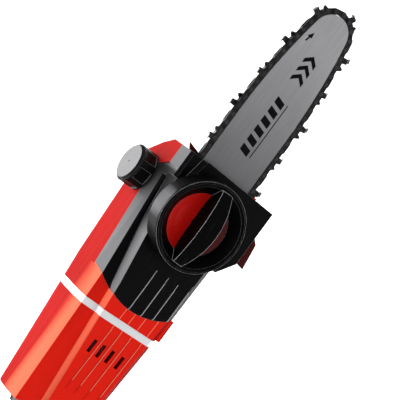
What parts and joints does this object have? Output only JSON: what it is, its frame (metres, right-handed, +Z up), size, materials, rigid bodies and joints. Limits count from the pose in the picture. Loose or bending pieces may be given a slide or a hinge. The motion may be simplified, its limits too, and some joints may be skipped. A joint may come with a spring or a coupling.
{
  "type": "telescoping pole saw",
  "caption": "Electric chainsaw head on a two-tube telescoping pole: tilting neck, clamp knob, oil cap, bumper with branch hook, cam clamp, front grip and trigger handle.",
  "frame": {"origin": "middle of the mains inlet at the rear end, on the axis of the pole", "axes": "+X along the pole to the bar tip, +Z up in use with the cutting edge and trigger down, clamp knob facing -Y"},
  "size_m": [1.8297, 0.1205, 0.1527],
  "materials": {
    "red_plastic": "satin moulded plastic",
    "black_plastic": "fine-grained moulded plastic",
    "trim_white": "satin",
    "bar_steel": "satin grey lacquer",
    "chain_steel": "dark oiled steel",
    "cutter_steel": "plated",
    "steel": "bright",
    "cast_alloy": "as cast",
    "copper_iron": "laminated core with windings",
    "carbon": "sintered",
    "red_metal": "powder coat",
    "tank_plastic": "milky",
    "seal_rubber": "soft",
    "tube_aluminium": "drawn, anodised",
    "tube_dark": "black powder coat",
    "grip_rubber": "soft ribbed foam rubber",
    "brass": "bright",
    "lead_rubber": "cable sheath"
  },
  "bodies": {
    "rear_pole": {"outer_tube": "tube_dark", "front_bush": "black_plastic", "clamp_collar": "black_plastic", "lever_pin": "steel", "front_grip": "grip_rubber", "strap_collar": "black_plastic", "handle_left": "black_plastic", "handle_right": "black_plastic", "grip_sleeve": "red_plastic", "power_switch": "black_plastic", "mains_inlet": "black_plastic", "inlet_pins": "brass", "coiled_lead": "lead_rubber", "trigger_spring": "steel", "lock_spring": "steel"},
    "front_pole": {"inner_tube": "tube_aluminium", "slide_bush": "black_plastic", "tilt_yoke": "black_plastic", "tilt_bolt": "steel", "tilt_spring": "steel"},
    "head": {"housing_left": "red_plastic", "housing_right": "red_plastic", "side_shroud": "black_plastic", "sprocket_cover": "black_plastic", "trim_ring": "trim_white", "head_screws": "steel", "bumper_plate": "red_metal", "guide_bar": "bar_steel", "chain_drive_links": "chain_steel", "chain_tie_straps": "chain_steel", "chain_cutters_left": "cutter_steel", "chain_cutters_right": "cutter_steel", "chain_rivets": "steel", "bar_pad": "black_plastic", "bar_stud": "steel", "gear_case": "cast_alloy", "spindle_bearings": "steel", "motor_bearings": "steel", "stator": "copper_iron", "carbon_brushes": "carbon", "oil_tank": "tank_plastic", "oil_tube": "seal_rubber", "tilt_tongue": "black_plastic"},
    "tilt_lock": {"tilt_button": "red_plastic"},
    "clamp_lever": {"clamp_lever": "red_plastic"},
    "strap_ring": {"strap_ring": "steel"},
    "trigger": {"trigger": "red_plastic"},
    "lock_off": {"lock_off": "red_plastic"},
    "clamp_knob": {"clamp_knob": "black_plastic", "knob_insert": "red_plastic"},
    "cap_carrier": {"cap_seal": "seal_rubber"},
    "oil_cap": {"oil_cap": "black_plastic"},
    "motor": {"armature": "copper_iron", "motor_shaft": "steel", "cooling_fan": "black_plastic", "motor_pinion": "steel"},
    "drive": {"spindle": "steel", "face_gear": "steel", "drive_sprocket": "steel", "sprocket_clip": "steel"}
  },
  "joints": [
    {"name": "telescope", "type": "slide", "parent": "rear_pole", "child": "front_pole", "axis": [1, 0, 0], "range_m": [0, 0.8]},
    {"name": "head_tilt", "type": "hinge", "parent": "front_pole", "child": "head", "pos_m": [1.295, 0, 0], "axis": [0, 1, 0], "range_deg": [0, 60]},
    {"name": "tilt_lock_pull", "type": "slide", "parent": "front_pole", "child": "tilt_lock", "axis": [0, -1, 0], "range_m": [0, 0.0026], "stiffness_N_per_m": 900, "springref_m": -0.004, "deforming": ["tilt_spring"]},
    {"name": "clamp_lever_open", "type": "hinge", "parent": "rear_pole", "child": "clamp_lever", "pos_m": [1.162, 0, 0.028], "axis": [0, 1, 0], "range_deg": [0, 115]},
    {"name": "strap_ring_swing", "type": "hinge", "parent": "rear_pole", "child": "strap_ring", "pos_m": [0.56, 0, -0.026], "axis": [0, 1, 0], "range_deg": [-75, 75]},
    {"name": "trigger_pull", "type": "hinge", "parent": "rear_pole", "child": "trigger", "pos_m": [0.238, 0, -0.013], "axis": [0, 1, 0], "range_deg": [0, 8], "stiffness_Nm_per_rad": 0.6, "springref_deg": -20.05, "deforming": ["trigger_spring"]},
    {"name": "lock_off_press", "type": "slide", "parent": "rear_pole", "child": "lock_off", "axis": [0, 0, -1], "range_m": [0, 0.003], "stiffness_N_per_m": 500, "springref_m": -0.004, "deforming": ["lock_spring"]},
    {"name": "clamp_knob_turn", "type": "hinge", "parent": "head", "child": "clamp_knob", "pos_m": [1.58, -0.06, 0.005], "axis": [0, -1, 0], "range_deg": [0, 360]},
    {"name": "cap_lift", "type": "slide", "parent": "head", "child": "cap_carrier", "axis": [0, 0, 1], "range_m": [0, 0.006]},
    {"name": "cap_turn", "type": "hinge", "parent": "cap_carrier", "child": "oil_cap", "pos_m": [1.59, 0.007, 0.06], "axis": [0, 0, 1], "range_deg": [0, 360]},
    {"name": "motor_spin", "type": "hinge", "parent": "head", "child": "motor", "pos_m": [1.43, 0, 0], "axis": [1, 0, 0], "continuous": true},
    {"name": "drive_spin", "type": "hinge", "parent": "head", "child": "drive", "pos_m": [1.524, 0, 0], "axis": [0, 1, 0], "continuous": true}
  ],
  "couplings": [
    {"joint": "drive_spin", "follows": "motor_spin", "ratio": -0.25},
    {"joint": "cap_lift", "follows": "cap_turn", "m_per_rad": 0.00095493}
  ]
}
